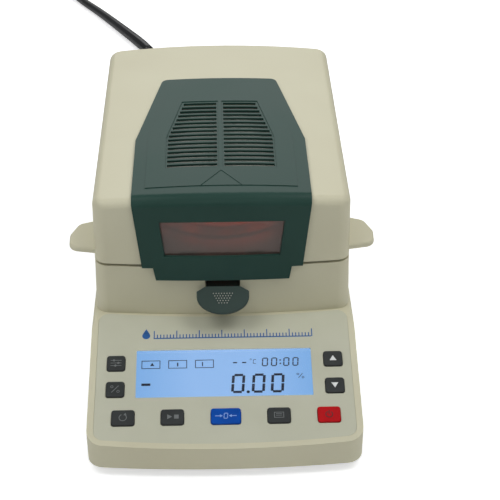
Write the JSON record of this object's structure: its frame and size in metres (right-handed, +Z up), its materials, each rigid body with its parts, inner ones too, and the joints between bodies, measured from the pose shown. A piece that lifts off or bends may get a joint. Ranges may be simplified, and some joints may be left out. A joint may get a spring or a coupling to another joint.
{
  "type": "moisture analyzer",
  "caption": "Bench moisture analyser with a sloped keypad console, a backlit display, a hinged halogen heating hood and a lift-out pan handler.",
  "frame": {"origin": "on the bench under the middle of the machine without its cord", "axes": "+Z up, the console faces -Y, +X to the operator's right"},
  "size_m": [0.3548, 0.9653, 0.1705],
  "materials": {
    "base_tray": "powder coat",
    "rubber_feet": "moulded",
    "case_screws": "zinc plated",
    "upper_housing": "moulded, fine texture",
    "front_panel": "printed film",
    "lcd_window": "clear",
    "lcd_module": "backlit display",
    "keypad_board": "circuit board",
    "key_switches": "moulded",
    "chamber_dish": "pressed",
    "wind_ring": "turned",
    "pan_support": "turned",
    "load_cell": "milled",
    "load_cell_bracket": "milled",
    "main_board": "circuit board",
    "transformer": "varnished",
    "fan_frame": "moulded",
    "fan_rotor": "moulded",
    "power_inlet": "moulded",
    "serial_port": "plated",
    "hinge_brackets": "pressed",
    "hinge_pins": "ground",
    "hood_knuckles": "pressed",
    "hood_shell": "moulded, fine texture",
    "bonnet": "moulded",
    "window_glass": "tinted",
    "window_clips": "spring steel",
    "hood_base_plate": "pressed",
    "reflector": "bright rolled",
    "vent_baffle": "rolled, dull",
    "halogen_lamp": "quartz",
    "lamp_holders": "unglazed",
    "lamp_guard": "welded wire",
    "temperature_probe": "drawn",
    "sample_pan": "pressed",
    "pan_handler": "moulded, heat resistant",
    "cord_connector": "moulded",
    "cord_plug": "moulded",
    "cord_sleeve": "moulded",
    "cord_lead": "extruded",
    "cord_coil": "extruded",
    "cord_run": "extruded",
    "cord_tail": "extruded",
    "key_set": "moulded",
    "key_unit": "moulded",
    "key_up": "moulded",
    "key_down": "moulded",
    "key_reset": "moulded",
    "key_start": "moulded",
    "key_tare": "moulded",
    "key_auto": "moulded",
    "key_power": "moulded"
  },
  "bodies": {
    "base": {"base_tray": "base_tray", "rubber_feet": "rubber_feet", "case_screws": "case_screws", "upper_housing": "upper_housing", "front_panel": "front_panel", "lcd_window": "lcd_window", "lcd_module": "lcd_module", "keypad_board": "keypad_board", "key_switches": "key_switches", "chamber_dish": "chamber_dish", "wind_ring": "wind_ring", "pan_support": "pan_support", "load_cell": "load_cell", "load_cell_bracket": "load_cell_bracket", "main_board": "main_board", "transformer": "transformer", "fan_frame": "fan_frame", "power_inlet": "power_inlet", "serial_port": "serial_port", "hinge_brackets": "hinge_brackets", "hinge_pins": "hinge_pins", "cord_connector": "cord_connector", "cord_lead": "cord_lead", "cord_coil": "cord_coil", "cord_run": "cord_run", "cord_sleeve": "cord_sleeve", "cord_tail": "cord_tail", "cord_plug": "cord_plug"},
    "hood": {"hood_shell": "hood_shell", "bonnet": "bonnet", "window_glass": "window_glass", "window_clips": "window_clips", "hood_base_plate": "hood_base_plate", "reflector": "reflector", "vent_baffle": "vent_baffle", "halogen_lamp": "halogen_lamp", "lamp_holders": "lamp_holders", "lamp_guard": "lamp_guard", "temperature_probe": "temperature_probe", "hood_knuckles": "hood_knuckles"},
    "handler": {"pan_handler": "pan_handler"},
    "pan": {"sample_pan": "sample_pan"},
    "fan": {"fan_rotor": "fan_rotor"},
    "key_set_body": {"key_set": "key_set"},
    "key_unit_body": {"key_unit": "key_unit"},
    "key_up_body": {"key_up": "key_up"},
    "key_down_body": {"key_down": "key_down"},
    "key_reset_body": {"key_reset": "key_reset"},
    "key_start_body": {"key_start": "key_start"},
    "key_tare_body": {"key_tare": "key_tare"},
    "key_auto_body": {"key_auto": "key_auto"},
    "key_power_body": {"key_power": "key_power"}
  },
  "joints": [
    {"name": "hood_hinge", "type": "hinge", "parent": "base", "child": "hood", "pos_m": [0, 0.1892, 0.1084], "axis": [-1, 0, 0], "range_deg": [0, 60]},
    {"name": "handler_lift", "type": "slide", "parent": "base", "child": "handler", "axis": [0, 0, 1], "range_m": [0, 0.0035]},
    {"name": "pan_lift", "type": "slide", "parent": "handler", "child": "pan", "axis": [0, 0, 1], "range_m": [0, 0.006]},
    {"name": "fan_spin", "type": "hinge", "parent": "base", "child": "fan", "pos_m": [0.046, 0.1841, 0.05], "axis": [0, 1, 0], "continuous": true},
    {"name": "key_set_press", "type": "slide", "parent": "base", "child": "key_set_body", "axis": [0, 0.297, -0.9549], "range_m": [0, 0.001], "stiffness_N_per_m": 400, "springref_m": -0.0004},
    {"name": "key_unit_press", "type": "slide", "parent": "base", "child": "key_unit_body", "axis": [0, 0.297, -0.9549], "range_m": [0, 0.001], "stiffness_N_per_m": 400, "springref_m": -0.0004},
    {"name": "key_up_press", "type": "slide", "parent": "base", "child": "key_up_body", "axis": [0, 0.297, -0.9549], "range_m": [0, 0.001], "stiffness_N_per_m": 400, "springref_m": -0.0004},
    {"name": "key_down_press", "type": "slide", "parent": "base", "child": "key_down_body", "axis": [0, 0.297, -0.9549], "range_m": [0, 0.001], "stiffness_N_per_m": 400, "springref_m": -0.0004},
    {"name": "key_reset_press", "type": "slide", "parent": "base", "child": "key_reset_body", "axis": [0, 0.297, -0.9549], "range_m": [0, 0.001], "stiffness_N_per_m": 400, "springref_m": -0.0004},
    {"name": "key_start_press", "type": "slide", "parent": "base", "child": "key_start_body", "axis": [0, 0.297, -0.9549], "range_m": [0, 0.001], "stiffness_N_per_m": 400, "springref_m": -0.0004},
    {"name": "key_tare_press", "type": "slide", "parent": "base", "child": "key_tare_body", "axis": [0, 0.297, -0.9549], "range_m": [0, 0.001], "stiffness_N_per_m": 400, "springref_m": -0.0004},
    {"name": "key_auto_press", "type": "slide", "parent": "base", "child": "key_auto_body", "axis": [0, 0.297, -0.9549], "range_m": [0, 0.001], "stiffness_N_per_m": 400, "springref_m": -0.0004},
    {"name": "key_power_press", "type": "slide", "parent": "base", "child": "key_power_body", "axis": [0, 0.297, -0.9549], "range_m": [0, 0.001], "stiffness_N_per_m": 400, "springref_m": -0.0004}
  ]
}
